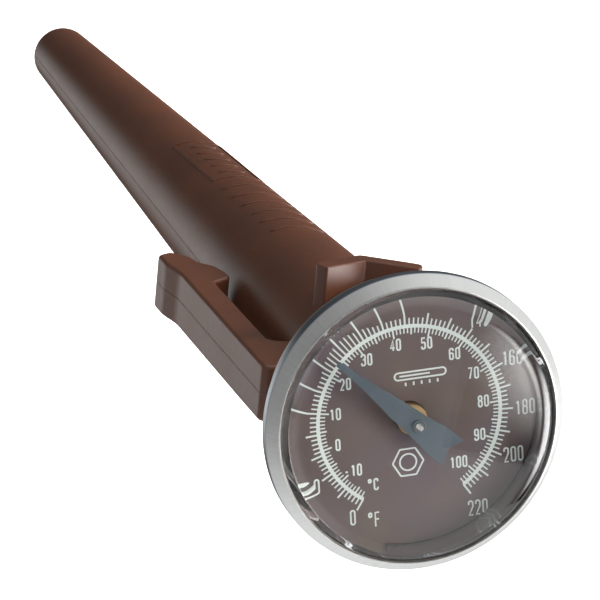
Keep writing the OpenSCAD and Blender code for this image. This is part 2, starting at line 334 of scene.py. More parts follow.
@dataclass(frozen=True)
class Metal:
    """A metal with fine marks from the way it was worked, and below a given height a painted dark band."""

    name: str
    colour: Colour
    roughness: float
    lay: Lay
    depth: float = 0.006
    tint: Colour = (1.0, 1.0, 1.0)
    # Painted shade: when a height is given, the colour below it turns toward the shade colour on the next
    # line.
    dark_below: float | None = None
    dark: Colour = (0.34, 0.38, 0.44)

    def _noise(self, sheet: Sheet) -> Signal:
        """Noise drawn out along the lay.

        Args:
            sheet: the sheet that it is written on.

        Returns:
            The noise.
        """
        x, y, z = sheet.axes()
        radius = (x * x + y * y + 0.01) ** 0.5
        round_x, round_y = x / radius, y / radius
        if self.lay is Lay.RADIAL:
            at = sheet.vector(round_x * 95.0, round_y * 95.0, radius * 0.9 + z * 0.9)
        elif self.lay is Lay.TURNED:
            at = sheet.vector(round_x * 0.7, round_y * 0.7, radius * 26.0 + z * 26.0)
        else:
            at = sheet.vector(round_x * 22.0, round_y * 22.0, z * 0.35)
        return sheet.noise(1.0, 4.0, at, 0.6)

    def make(self) -> bpy.types.Material:
        """Builds the material.

        Returns:
            The material.
        """
        sheet = Sheet(self.name)
        marks = self._noise(sheet)
        cloud = sheet.noise(260.0, 3.0)
        smear = sheet.noise(60.0, 2.0)
        shade = marks.fade(0.25, 0.75) * 0.7 + cloud * 0.3
        base = sheet.mix(shade, tuple(c * 0.86 for c in self.colour), self.colour)
        base = sheet.mix(smear.fade(0.45, 0.8) * 0.35, base,
                         tuple(c * t for c, t in zip(self.colour, self.tint)))
        rough = self.roughness + 0.09 * marks + 0.05 * smear
        # Painted shade: below the given height the base colour is mixed toward a dark colour; on the bezel
        # this paints a dark reflection band on the rim wall, on the pointer shaft shade under its tip.
        if self.dark_below is not None:
            edge = 1.0 - sheet.axes()[2].fade(self.dark_below - 0.05, self.dark_below + 0.12)
            base = sheet.mix(edge * 0.85, base, self.dark)
        return sheet.finish(
            Base_Color=base,
            Metallic=1.0,
            Roughness=rough,
            Normal=sheet.bump(marks, 0.5, self.depth * MM),
        )


@dataclass(frozen=True)
class DialPaint:
    """Anodised dial plate: mauve brown with a faint play of purple, blue and straw."""

    name: str = "dial_face"
    colour: Colour = (0.114, 0.085, 0.080)
    purple: Colour = (0.108, 0.077, 0.110)
    blue: Colour = (0.080, 0.090, 0.122)
    straw: Colour = (0.156, 0.113, 0.072)

    def make(self) -> bpy.types.Material:
        """Builds the material.

        Returns:
            The material.
        """
        sheet = Sheet(self.name)
        x, y, _ = sheet.axes()
        slow = sheet.vector(x * 0.11, y * 0.11, 0.0)
        drift = sheet.noise(1.0, 2.0, slow)
        other = sheet.noise(1.7, 2.0, slow)
        base = sheet.mix(drift.fade(0.50, 0.72) * 0.60, self.colour, self.purple)
        base = sheet.mix(other.fade(0.55, 0.75) * 0.40, base, self.blue)
        base = sheet.mix((1.0 - drift.fade(0.30, 0.46)) * 0.50, base, self.straw)
        fine = sheet.noise(1.0, 2.0, sheet.vector(x * 30.0, y * 2.2, 0.0))
        base = sheet.mix(fine * 0.18, base, tuple(c * 1.35 for c in self.colour))
        return sheet.finish(
            Base_Color=base,
            Metallic=0.35,
            Roughness=0.42 + 0.08 * fine,
            Normal=sheet.bump(fine, 0.25, 0.003 * MM),
        )


@dataclass(frozen=True)
class Coating:
    """A plain opaque finish with slight mottling: ink, paint, rubber or a plain plastic."""

    name: str
    colour: Colour
    roughness: float
    metallic: float = 0.0
    mottle: float = 0.16
    scale: float = 700.0
    depth: float = 0.004

    def make(self) -> bpy.types.Material:
        """Builds the material.

        Returns:
            The material.
        """
        sheet = Sheet(self.name)
        speck = sheet.noise(self.scale, 3.0)
        cloud = sheet.noise(self.scale * 0.12, 2.0)
        dull = tuple(c * (1.0 - self.mottle) for c in self.colour)
        base = sheet.mix(speck.fade(0.3, 0.7) * 0.6 + cloud * 0.4, dull, self.colour)
        return sheet.finish(
            Base_Color=base,
            Metallic=self.metallic,
            Roughness=self.roughness + 0.10 * cloud,
            Normal=sheet.bump(speck, 0.4, self.depth * MM),
        )


@dataclass(frozen=True)
class ClearPlastic:
    """Clear polished plastic with the faintest ripple."""

    name: str = "clear_plastic"
    ior: float = 1.49

    def make(self) -> bpy.types.Material:
        """Builds the material.

        Returns:
            The material.
        """
        sheet = Sheet(self.name)
        ripple = sheet.noise(55.0, 1.0)
        return sheet.finish(
            Base_Color=(0.985, 0.985, 0.99),
            Roughness=0.0,
            IOR=self.ior,
            Transmission_Weight=1.0,
            Normal=sheet.bump(ripple, 0.05, 0.04 * MM),
        )


@dataclass(frozen=True)
class GlowPanel:
    """A studio panel that is brightest in the middle and fades to its edge."""

    name: str
    colour: Colour
    strength: float
    core: float

    def make(self) -> bpy.types.Material:
        """Builds the material.

        Returns:
            The material.
        """
        sheet = Sheet(self.name)
        uv = sheet.node("ShaderNodeTexCoord").outputs["UV"]
        parts = sheet.node("ShaderNodeSeparateXYZ", None, {0: uv}).outputs
        u, v = (abs(Signal(sheet, parts[i]) - 0.5) * 2.0 for i in range(2))
        far = (u * u + v * v) ** 0.5
        glow = sheet.mix(1.0 - far.fade(self.core, 1.0), (0.0, 0.0, 0.0), self.colour)
        light = sheet.node("ShaderNodeEmission", None, {"Color": glow, "Strength": self.strength})
        sheet.node("ShaderNodeOutputMaterial", None, {"Surface": light.outputs[0]})
        return sheet.material


@dataclass(frozen=True)
class Finishes:
    """Every finish of the object, by slot."""

    sheath: bpy.types.Material
    case: bpy.types.Material
    bezel: bpy.types.Material
    stem: bpy.types.Material
    nut: bpy.types.Material
    brass: bpy.types.Material
    bimetal: bpy.types.Material
    seal: bpy.types.Material
    dial: bpy.types.Material
    ink: bpy.types.Material
    spacer: bpy.types.Material
    lens: bpy.types.Material
    gasket: bpy.types.Material
    pointer: bpy.types.Material
    shaft: bpy.types.Material

    @classmethod
    def mixed(cls, rim_z: float, shaft_z: float) -> "Finishes":
        """Makes them all.

        Args:
            rim_z: height of the rim's front edge, in millimetres; the rim wall below it gets a painted dark
                reflection band.
            shaft_z: height of the pointer shaft's end; below its flattened tip the shaft gets painted
                shade, so only the tip shows bright.

        Returns:
            The finishes.
        """
        steel = (0.66, 0.66, 0.64)
        return cls(
            sheath=MouldedPlastic().make(),
            case=Metal("case_steel", steel, 0.30, Lay.TURNED).make(),
            # Painted reflection: the bezel's rim wall below its front edge is darkened to a blue-grey band.
            bezel=Metal("bezel_steel", steel, 0.27, Lay.RADIAL, 0.008, dark_below=rim_z).make(),
            stem=Metal("stem_steel", (0.64, 0.64, 0.63), 0.24, Lay.DRAWN, 0.003).make(),
            nut=Metal("nut_steel", (0.66, 0.65, 0.62), 0.26, Lay.TURNED).make(),
            brass=Metal("brass", (0.80, 0.56, 0.26), 0.24, Lay.TURNED, tint=(0.8, 0.7, 0.6)).make(),
            bimetal=Metal("bimetal", (0.52, 0.45, 0.38), 0.34, Lay.DRAWN, tint=(1.2, 0.9, 0.7)).make(),
            seal=Coating("seal_rubber", (0.022, 0.022, 0.024), 0.55).make(),
            dial=DialPaint().make(),
            ink=Coating("dial_ink", (0.66, 0.73, 0.70), 0.42, mottle=0.08, scale=900.0).make(),
            spacer=Coating("spacer_plastic", (0.72, 0.72, 0.70), 0.40).make(),
            lens=ClearPlastic().make(),
            gasket=Coating("gasket", (0.50, 0.50, 0.48), 0.50).make(),
            pointer=Coating("pointer_metal", (0.085, 0.112, 0.132), 0.40, 0.45, 0.22, 500.0).make(),
            # Painted shade: the pointer shaft is darkened to near black below its tip.
            shaft=Metal("shaft_steel", (0.80, 0.79, 0.76), 0.20, Lay.TURNED, 0.004,
                        dark_below=shaft_z - 0.12, dark=(0.05, 0.055, 0.06)).make(),
        )


# -------------------------------------------------------------------- shaping


def filleted(corners: Sequence[Corner], closed: bool, steps: int = 5) -> list[Point]:
    """Rounds the corners of an outline.

    Args:
        corners: (x, y, radius) of each corner; a radius of 0 keeps it sharp.
        closed: whether the last corner joins the first.
        steps: points along each rounding, less one.

    Returns:
        The points of the rounded outline.
    """
    points: list[Point] = []
    count = len(corners)
    for i, (x, y, radius) in enumerate(corners):
        inner = closed or 0 < i < count - 1
        here = Vector((x, y))
        before = Vector(corners[i - 1][:2]) - here
        after = Vector(corners[(i + 1) % count][:2]) - here
        if not inner or radius <= 0 or min(before.length, after.length) < 1e-9:
            points.append((x, y))
            continue
        half = before.angle(after) / 2
        if half > math.pi / 2 - 1e-3:
            points.append((x, y))
            continue
        reach = min(radius / math.tan(half), 0.499 * min(before.length, after.length))
        radius = reach * math.tan(half)
        start = here + before.normalized() * reach
        end = here + after.normalized() * reach
        centre = here + (before.normalized() + after.normalized()).normalized() * (radius / math.sin(half))
        a0 = math.atan2(start.y - centre.y, start.x - centre.x)
        turn = math.atan2(end.y - centre.y, end.x - centre.x) - a0
        turn = (turn + math.pi) % (2 * math.pi) - math.pi
        for k in range(steps + 1):
            a = a0 + turn * k / steps
            points.append((centre.x + radius * math.cos(a), centre.y + radius * math.sin(a)))
    return points


def dome(edge_r: float, edge_z: float, rise: float, steps: int) -> list[Point]:
    """Points of a spherical cap's profile, from its edge to the axis.

    Args:
        edge_r: radius of its edge.
        edge_z: height of its edge.
        rise: how far it rises to the axis.
        steps: points, less one.

    Returns:
        (radius, height) of each point.
    """
    ball = (edge_r**2 + rise**2) / (2 * rise)
    span = math.asin(edge_r / ball)
    angles = (span * (1 - k / steps) for k in range(steps + 1))
    centre = edge_z + rise - ball
    return [(ball * math.sin(a), centre + ball * math.cos(a)) for a in angles]


def crown(edge_r: float, edge_z: float, rise: float, crown_r: float, turn_r: float,
          steps: int) -> list[Point]:
    """Points of a wide crown with a rounded shoulder, from its edge to the axis.

    Args:
        edge_r: radius of its edge.
        edge_z: height of its edge.
        rise: how far it rises to the axis.
        crown_r: radius of curvature of the crown.
        turn_r: radius of curvature of the shoulder.
        steps: points along each of the two, less one.

    Returns:
        (radius, height) of each point.
    """
    reach = math.hypot(edge_r, crown_r - rise)
    arm = crown_r - turn_r
    spread = math.acos((reach**2 + arm**2 - turn_r**2) / (2 * reach * arm))
    tilt = math.atan2(edge_r, crown_r - rise) - spread
    centre = edge_z + rise - crown_r
    x, z = arm * math.sin(tilt), centre + arm * math.cos(tilt)
    low = math.pi / 2 - math.atan2(edge_z - z, edge_r - x)
    turn = (low + (tilt - low) * k / steps for k in range(steps))
    cap = (tilt * (1 - k / steps) for k in range(steps + 1))
    shoulder = [(x + turn_r * math.sin(a), z + turn_r * math.cos(a)) for a in turn]
    return shoulder + [(crown_r * math.sin(a), centre + crown_r * math.cos(a)) for a in cap]


class Shape:
    """A mesh being shaped, in millimetres."""

    def __init__(self) -> None:
        """Starts empty."""
        self.bm = bmesh.new()

    def wire(self, points: Iterable[Vector], closed: bool) -> list:
        """Adds points joined by edges.

        Args:
            points: the points.
            closed: whether the last joins the first.

        Returns:
            The new vertices and edges.
        """
        verts = [self.bm.verts.new(p) for p in points]
        edges = [self.bm.edges.new(pair) for pair in zip(verts, verts[1:])]
        if closed:
            edges.append(self.bm.edges.new((verts[-1], verts[0])))
        return verts + edges

    def turned(self, profile: Sequence[Point], steps: int = 192, closed: bool = True) -> "Shape":
        """Spins a profile about Z.

        Args:
            profile: (radius, height) of each point.
            steps: segments of the full turn.
            closed: whether the profile is a loop; an open one starts and ends on the axis.

        Returns:
            self.
        """
        wire = self.wire((Vector((r, 0.0, z)) for r, z in profile), closed)
        bmesh.ops.spin(self.bm, geom=wire, cent=(0, 0, 0), axis=(0, 0, 1), angle=2 * math.pi,
                       steps=steps, use_merge=True)
        return self.clean(0.002)

    def prism(self, outline: Sequence[Point], low: float, high: float) -> "Shape":
        """Extrudes an outline along Y.

        Args:
            outline: (x, z) of its points.
            low: where along Y it starts.
            high: where it ends.

        Returns:
            self.
        """
        face = self.bm.faces.new([self.bm.verts.new((x, low, z)) for x, z in outline])
        made = bmesh.ops.extrude_face_region(self.bm, geom=[face], use_keep_orig=True)
        moved = [v for v in made["geom"] if isinstance(v, bmesh.types.BMVert)]
        bmesh.ops.translate(self.bm, vec=(0, high - low, 0), verts=moved)
        return self.clean(0.0005)

    def clean(self, distance: float) -> "Shape":
        """Merges doubles and turns every face outwards.

        Args:
            distance: how close two points are to be one.

        Returns:
            self.
        """
        bmesh.ops.remove_doubles(self.bm, verts=self.bm.verts[:], dist=distance)
        bmesh.ops.dissolve_degenerate(self.bm, edges=self.bm.edges[:], dist=distance / 4)
        bmesh.ops.recalc_face_normals(self.bm, faces=self.bm.faces[:])
        return self

    def sliced(self, axis: int, places: Iterable[float]) -> "Shape":
        """Cuts new edge loops across the shape.

        Args:
            axis: 0, 1 or 2 for X, Y or Z.
            places: where along the axis each loop goes.

        Returns:
            self.
        """
        normal = Vector((0, 0, 0))
        normal[axis] = 1.0
        for place in places:
            everything = self.bm.verts[:] + self.bm.edges[:] + self.bm.faces[:]
            bmesh.ops.bisect_plane(self.bm, geom=everything, plane_co=normal * place, plane_no=normal)
        return self

    def softened(self, width: float, segments: int = 3, sharp: float = 30.0,
                 where: Callable[[Vector], bool] | None = None) -> "Shape":
        """Rounds the sharp edges.

        Args:
            width: size of the rounding.
            segments: faces across it.
            sharp: edges that turn more than this many degrees are rounded.
            where: says of an edge's middle whether that edge is rounded.

        Returns:
            self.
        """
        limit = math.radians(sharp)
        edges = [
            e for e in self.bm.edges
            if len(e.link_faces) == 2 and e.calc_face_angle(0.0) > limit
            and (where is None or where((e.verts[0].co + e.verts[1].co) / 2))
        ]
        bmesh.ops.bevel(self.bm, geom=edges, offset=width, offset_type="OFFSET", segments=segments,
                        profile=0.5, affect="EDGES", clamp_overlap=True, material=-1)
        return self

    def moved(self, matrix: Matrix) -> "Shape":
        """Moves every vertex by a matrix."""
        bmesh.ops.transform(self.bm, matrix=matrix, verts=self.bm.verts[:])
        return self

    def shaped(self, rule: Callable[[Vector], Vector]) -> "Shape":
        """Moves every vertex to where a rule says.

        Args:
            rule: gives the new place for an old one.

        Returns:
            self.
        """
        for vert in self.bm.verts:
            vert.co = rule(vert.co)
        return self

    def box(self, low: Sequence[float], high: Sequence[float], turn: Matrix | None = None) -> "Shape":
        """Adds a box.

        Args:
            low: its lowest corner.
            high: its highest corner.
            turn: a matrix that is applied last.

        Returns:
            self.
        """
        size = Vector(high) - Vector(low)
        place = Matrix.Translation((Vector(low) + Vector(high)) / 2) @ Matrix.Diagonal((*size, 1.0))
        bmesh.ops.create_cube(self.bm, size=1.0, matrix=(turn or Matrix.Identity(4)) @ place)
        return self

    def rod(self, radius: float, low: Vector, high: Vector, segments: int = 64) -> "Shape":
        """Adds a straight cylinder.

        Args:
            radius: its radius.
            low: one end of its axis.
            high: the other end.
            segments: faces round it.

        Returns:
            self.
        """
        along = high - low
        turn = along.to_track_quat("Z", "Y").to_matrix().to_4x4()
        matrix = Matrix.Translation((low + high) / 2) @ turn
        bmesh.ops.create_cone(self.bm, cap_ends=True, segments=segments, radius1=radius, radius2=radius,
                              depth=along.length, matrix=matrix)
        return self

    def from_node(self, name: str) -> "Shape":
        """Adds a copy of a CAD node's surface, with its loose triangles joined.

        Args:
            name: the node.

        Returns:
            self.
        """
        self.bm.from_mesh(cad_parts[name].data)
        self.moved(Matrix.Diagonal((1 / MM, 1 / MM, 1 / MM, 1.0)))
        bmesh.ops.remove_doubles(self.bm, verts=self.bm.verts[:], dist=0.001)
        bmesh.ops.dissolve_limit(self.bm, angle_limit=math.radians(0.6), verts=self.bm.verts[:],
                                 edges=self.bm.edges[:])
        return self

    def object(self, name: str, sharp: float = 32.0, weighted: bool = False) -> bpy.types.Object:
        """Ends the shape as an object, in metres, smooth but for its sharp edges.

        Args:
            name: the object's name.
            sharp: edges that turn more than this many degrees stay sharp.
            weighted: whether large faces rule the shading, as suits a form with flats.

        Returns:
            The object.
        """
        self.moved(Matrix.Diagonal((MM, MM, MM, 1.0)))
        mesh = bpy.data.meshes.new(name)
        self.bm.to_mesh(mesh)
        self.bm.free()
        mesh.polygons.foreach_set("use_smooth", [True] * len(mesh.polygons))
        mesh.set_sharp_from_angle(angle=math.radians(sharp))
        made = bpy.data.objects.new(name, mesh)
        bpy.context.scene.collection.objects.link(made)
        if weighted:
            modifier = made.modifiers.new("weighted_shading", "WEIGHTED_NORMAL")
            modifier.keep_sharp = True
        return made


class Join(Enum):
    """What a tool does to the object that it meets."""

    ADD = "UNION"
    CUT = "DIFFERENCE"


def joined(base: bpy.types.Object, others: Sequence[bpy.types.Object], how: Join) -> bpy.types.Object:
    """Cuts tools from an object, or adds them to it, and removes the tools.

    Args:
        base: the object that is kept.
        others: the tools, in order.
        how: what they do to it.

    Returns:
        The base object.
    """
    for tool in others:
        modifier = base.modifiers.new("join", "BOOLEAN")
        modifier.operation = how.value
        modifier.solver = "EXACT"
        modifier.object = tool
        bpy.context.view_layer.update()
        graph = bpy.context.evaluated_depsgraph_get()
        result = bpy.data.meshes.new_from_object(base.evaluated_get(graph))
        base.modifiers.clear()
        old = base.data
        base.data = result
        bpy.data.meshes.remove(old)
        bpy.data.objects.remove(tool)
    return base


def fitted(piece: bpy.types.Object, finish: bpy.types.Material, slot: str, body: str,
           *nodes: str) -> bpy.types.Object:
    """Dresses a piece, and has it ride on its body in place of its CAD nodes.

    Args:
        piece: the finished object.
        finish: its material.
        slot: the name of a material slot; not used.
        body: the CAD body that it moves with.
        nodes: the CAD nodes that it stands for.

    Returns:
        The piece.
    """
    piece.data.materials.clear()
    piece.data.materials.append(finish)
    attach(piece, body)
    if nodes:
        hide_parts(*nodes)
    LOG.info("%s rides on %s, stands for %s", piece.name, body, ", ".join(nodes) or "nothing")
    return piece


def dressed(node: str, finish: bpy.types.Material) -> None:
    """Gives a CAD node that stays its finish.

    Args:
        node: the node.
        finish: its material.
    """
    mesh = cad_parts[node].data
    mesh.materials.clear()
    mesh.materials.append(finish)
    LOG.info("%s is kept from the frame", node)


# --------------------------------------------------------------------- levels


@dataclass(frozen=True)
class Levels:
    """Sizes and heights of the object in millimetres, read from the frame."""

    rim_r: float
    rim_low: float
    crest: float
    dial: float
    dial_low: float
    dial_r: float
    case_back: float
    case_r: float
    flange: float
    lens_r: float
    gasket_top: float
    mouth: float
    sheath_end: float
    clip_low: Vector
    clip_high: Vector
    cradle_y: float
    stem_r: float
    stem_end: float

    @classmethod
    def measured(cls) -> "Levels":
        """Reads them from the boxes of the CAD nodes.

        Returns:
            The sizes and heights.
        """
        def box(node: str) -> tuple[Vector, Vector]:
            """A node's box in millimetres."""
            low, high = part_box(node)
            return low / MM, high / MM

        bezel, dial, case, lens = (box(n) for n in ("bezel_ring", "dial_plate", "head_case", "lens"))
        sheath, clip, tube, tip = (box(n) for n in ("sheath", "pocket_clip", "stem_tube", "stem_tip"))
        return cls(
            rim_r=bezel[1].x, rim_low=bezel[0].z, crest=bezel[1].z,
            dial=dial[1].z, dial_low=dial[0].z, dial_r=dial[1].x,
            case_back=case[0].z, case_r=case[1].x, flange=case[1].z,
            lens_r=lens[1].x, gasket_top=box("lens_gasket")[1].z,
            mouth=sheath[1].z, sheath_end=sheath[0].z, cradle_y=sheath[1].y,
            clip_low=clip[0], clip_high=clip[1], stem_r=tube[1].x, stem_end=tip[0].z,
        )


# ----------------------------------------------------------------- lettering


class Pen:
    """Draws plain condensed figures as strokes; a figure is 1 high before it is sized."""

    wide: float = 0.44
    turn: float = 0.215

    @classmethod
    def figures(cls) -> dict[str, list[tuple[list[Corner], bool]]]:
        """The strokes of every figure.

        Returns:
            For each figure its strokes: the corners, each with a rounding, and whether it is a loop.
        """
        w, r = cls.wide, cls.turn
        six = [([(w, 0.77, 0), (w, 1, r), (0, 1, r), (0, 0, r), (w, 0, r), (w, 0.57, r),
                 (0.02, 0.57, 0)], False)]
        return {
            "0": [([(0, 0, r), (w, 0, r), (w, 1, r), (0, 1, r)], True)],
            "1": [([(0.10, 0.80, 0), (0.28, 1, 0.03), (0.28, 0, 0)], False)],
            "2": [([(0, 0.75, 0), (0, 1, r), (w, 1, r), (w, 0.60, 0.16), (0.02, 0, 0), (w, 0, 0)], False)],
            "3": [([(0, 0.78, 0), (0, 1, r), (w, 1, r), (w, 0.54, 0.18), (0.16, 0.54, 0)], False),
                  ([(0.16, 0.54, 0), (w, 0.54, 0.18), (w, 0, r), (0, 0, r), (0, 0.23, 0)], False)],
            "4": [([(0.34, 0, 0), (0.34, 1, 0), (0, 0.26, 0), (w + 0.06, 0.26, 0)], False)],
            "5": [([(w, 1, 0), (0.04, 1, 0), (0.02, 0.57, 0), (w, 0.60, r), (w, 0, r), (0, 0, r),
                    (0, 0.23, 0)], False)],
            "6": six,
            "7": [([(0, 1, 0), (w, 1, 0), (0.15, 0, 0)], False)],
            "8": [([(0, 0, r), (w, 0, r), (w, 0.54, 0.19), (0, 0.54, 0.19)], True),
                  ([(0.02, 0.54, 0.19), (w - 0.02, 0.54, 0.19), (w - 0.02, 1, r), (0.02, 1, r)], True)],
            "9": [([(w - x, 1 - y, c) for x, y, c in six[0][0]], False)],
            "-": [([(0.06, 0.42, 0), (0.34, 0.42, 0)], False)],
            "C": [([(w, 0.76, 0), (w, 1, r), (0, 1, r), (0, 0, r), (w, 0, r), (w, 0.24, 0)], False)],
            "F": [([(0, 0, 0), (0, 1, 0), (w, 1, 0)], False), ([(0, 0.53, 0), (w - 0.05, 0.53, 0)], False)],
            "o": [([(0.10, 0.72, 0.14), (0.38, 0.72, 0.14), (0.38, 1, 0.14), (0.10, 1, 0.14)], True)],
            " ": [],
        }

    def __init__(self, ink: float, lift: float) -> None:
        """Takes up the pen.

        Args:
            ink: half the width of a stroke, in millimetres.
            lift: its height above the plate, in millimetres.
        """
        self.ink = ink
        self.lift = lift
        self.strokes: list[tuple[list[Point], bool]] = []

    def stroke(self, corners: Sequence[Corner], closed: bool) -> None:
        """Adds one stroke, in millimetres."""
        self.strokes.append((filleted(corners, closed, 6), closed))

    def word(self, text: str, centre: Point, size: tuple[float, float, float], tilt: float) -> None:
        """Writes a word.

        Args:
            text: what it says.
            centre: the middle of the word, in millimetres.
            size: height and width of a figure, and the step from one to the next.
            tilt: angle that it is turned by, in radians.
        """
        height, wide, pitch = size
        width = pitch * (len(text) - 1) + wide
        for i, letter in enumerate(text):
            for corners, closed in self.figures()[letter]:
                placed = []
                for x, y, c in corners:
                    px = x * wide / self.wide + i * pitch - width / 2
                    py = (y - 0.5) * height
                    placed.append((
                        centre[0] + px * math.cos(tilt) - py * math.sin(tilt),
                        centre[1] + px * math.sin(tilt) + py * math.cos(tilt),
                        c * height,
                    ))
                self.stroke(placed, closed)

    def mesh(self, shape: Shape, z: float) -> None:
        """Lays the strokes into a shape as low rounded ridges of ink.

        Args:
            shape: the shape that they are added to.
            z: height of the plate.
        """
        curve = bpy.data.curves.new("pen_strokes", "CURVE")
        curve.dimensions = "3D"
        curve.bevel_depth = self.ink * MM
        curve.bevel_resolution = 1
        curve.use_fill_caps = True
        for points, closed in self.strokes:
            spline = curve.splines.new("POLY")
            spline.points.add(len(points) - 1)
            for point, (x, y) in zip(spline.points, points):
                point.co = (x * MM, y * MM, 0.0, 1.0)
            spline.use_cyclic_u = closed
        holder = bpy.data.objects.new("pen_strokes", curve)
        bpy.context.scene.collection.objects.link(holder)
        bpy.context.view_layer.update()
        graph = bpy.context.evaluated_depsgraph_get()
        flat = bpy.data.meshes.new_from_object(holder.evaluated_get(graph))
        flat.transform(Matrix.Diagonal((1 / MM, 1 / MM, self.lift / self.ink / MM, 1.0)))
        flat.transform(Matrix.Translation((0, 0, z)))
        shape.bm.from_mesh(flat)
        bpy.data.objects.remove(holder)
        bpy.data.curves.remove(curve)
        bpy.data.meshes.remove(flat)


# ----------------------------------------------------------------------- head


@dataclass
class Dial:
    """The printed dial: a plate, two scales on one band, their figures and two plain signs."""

    levels: Levels
    finishes: Finishes
    top_turn: float = math.radians(8.7)
    sweep: float = math.radians(293.0)
    outer_low: int = 0
    outer_high: int = 220
    band_r: float = 8.54
    band_half: float = 0.17
    tick_half: float = 0.075
    lift: float = 0.018
    hole_r: float = 1.5
    low_c: int = -17
    high_c: int = 104
    tens_r: float = 9.73
    twos_r: float = 9.29
    tens_c_r: float = 7.58
    fives_c_r: float = 7.76
    ones_c_r: float = 7.89
    outer_word_r: float = 10.72
    inner_word_r: float = 6.99
    celsius_at: Point = (-3.75, -5.90)
    fahrenheit_at: Point = (-3.84, -9.25)
    nut_at: Point = (-0.35, -4.25)
    nut_r: float = 1.45
    nut_hole_r: float = 0.78
    outer_figure: tuple[float, float, float] = (1.32, 0.38, 0.67)
    inner_figure: tuple[float, float, float] = (1.00, 0.32, 0.59)
    ink_half: float = 0.080
    outer_nudges: dict[int, Point] = field(
        default_factory=lambda: {0: (0.10, 0.20), 180: (0.15, 0.05), 200: (0.20, 0.45), 220: (0.15, -0.55)})
    inner_nudges: dict[int, Point] = field(
        default_factory=lambda: {70: (-0.15, 0.20), 80: (-0.05, 0.25), 100: (-0.50, 0.0)})

    def angle(self, reading: float) -> float:
        """The angle from +X, in radians, of a reading on the outer scale."""
        share = (reading - self.outer_low) / (self.outer_high - self.outer_low) - 0.5
        return math.pi / 2 + self.top_turn - share * self.sweep

    def celsius_angle(self, degrees: float) -> float:
        """The angle from +X, in radians, of a reading on the inner scale."""
        return self.angle(degrees * 1.8 + 32)

    def spot(self, a: float, radius: float) -> Point:
        """The place at an angle and a radius."""
        return radius * math.cos(a), radius * math.sin(a)

    def _tick(self, shape: Shape, a: float, inner: float, outer: float, half: float) -> None:
        """Adds one tick.

        Args:
            shape: the shape that it is added to.
            a: its angle, in radians.
            inner: radius of its inner end.
            outer: radius of its outer end.
            half: half its width.
        """
        turn = Matrix.Rotation(a, 4, "Z")
        z = self.levels.dial
        shape.box((inner, -half, z - self.lift / 2), (outer, half, z + self.lift), turn)

    def plate(self) -> bpy.types.Object:
        """Builds the plate with rounded edges.

        Returns:
            The plate.
        """
        low, top, edge = self.levels.dial_low, self.levels.dial, 0.05
        profile = filleted([
            (self.hole_r, low, edge), (self.levels.dial_r, low, edge),
            (self.levels.dial_r, top, edge), (self.hole_r, top, edge),
        ], True, 3)
        piece = Shape().turned(profile, 160).object("dial_plate_piece")
        return fitted(piece, self.finishes.dial, "dial_face", "head", "dial_plate")

    def _scales(self, shape: Shape) -> None:
        """Adds the band and the ticks of both scales.

        Args:
            shape: the shape that they are added to.
        """
        inner, outer = self.band_r - self.band_half, self.band_r + self.band_half
        low, top = self.levels.dial - self.lift / 2, self.levels.dial + self.lift
        start, end = self.angle(self.outer_high), self.angle(self.outer_low)
        section = ((inner, low), (inner, top), (outer, top), (outer, low))
        wire = shape.wire([Vector((*self.spot(start, r), z)) for r, z in section], True)
        bmesh.ops.spin(shape.bm, geom=wire, cent=(0, 0, 0), axis=(0, 0, 1), angle=end - start, steps=180)
        for reading in range(self.outer_low, self.outer_high + 1, 2):
            reach, share = (self.tens_r, 1.1) if reading % 10 == 0 else (self.twos_r, 0.9)
            self._tick(shape, self.angle(reading), self.band_r, reach, self.tick_half * share)
        for degrees in range(self.low_c, self.high_c + 1):
            reach, share = self.ones_c_r, 0.78
            if degrees % 5 == 0:
                reach, share = self.tens_c_r if degrees % 10 == 0 else self.fives_c_r, 1.0
            self._tick(shape, self.celsius_angle(degrees), reach, self.band_r, self.tick_half * share)

    def _words(self, pen: Pen) -> None:
        """Writes the figures of both scales and their two letters.

        Args:
            pen: the pen that writes them.
        """
        for reading in range(self.outer_low, self.outer_high + 1, 20):
            x, y = self.spot(self.angle(reading), self.outer_word_r)
            dx, dy = self.outer_nudges.get(reading, (0.0, 0.0))
            pen.word(str(reading), (x + dx, y + dy), self.outer_figure, self.top_turn)
        for degrees in range(-10, 101, 10):
            x, y = self.spot(self.celsius_angle(degrees), self.inner_word_r)
            dx, dy = self.inner_nudges.get(degrees, (0.0, 0.0))
            pen.word(str(degrees), (x + dx, y + dy), self.inner_figure, self.top_turn)
        for text, place, size in (("oC", self.celsius_at, self.inner_figure),
                                  ("oF", self.fahrenheit_at, self.outer_figure)):
            pen.word(text, self._turned([(*place, 0.0)])[0][:2], size, self.top_turn)

    def _turned(self, corners: Iterable[Corner]) -> list[Corner]:
        """Turns corners given with the dial upright to where they are."""
        c, s = math.cos(self.top_turn), math.sin(self.top_turn)
        return [(x * c - y * s, x * s + y * c, f) for x, y, f in corners]

    def _nut_sign(self, pen: Pen) -> None:
        """Draws a plain nut, the sign for calibration.

        Args:
            pen: the pen that draws it.
        """
        (x, y), r, hole_r = self.nut_at, self.nut_r, self.nut_hole_r
        angles = [k * math.pi / 3 for k in range(6)]
        hexagon = [(x + r * math.cos(a), y + r * math.sin(a), 0.12) for a in angles]
        ring = [(x + hole_r * sx, y + hole_r * sy, hole_r)
                for sx, sy in ((-1, -1), (1, -1), (1, 1), (-1, 1))]
        pen.stroke(self._turned(hexagon), True)
        pen.stroke(self._turned(ring), True)

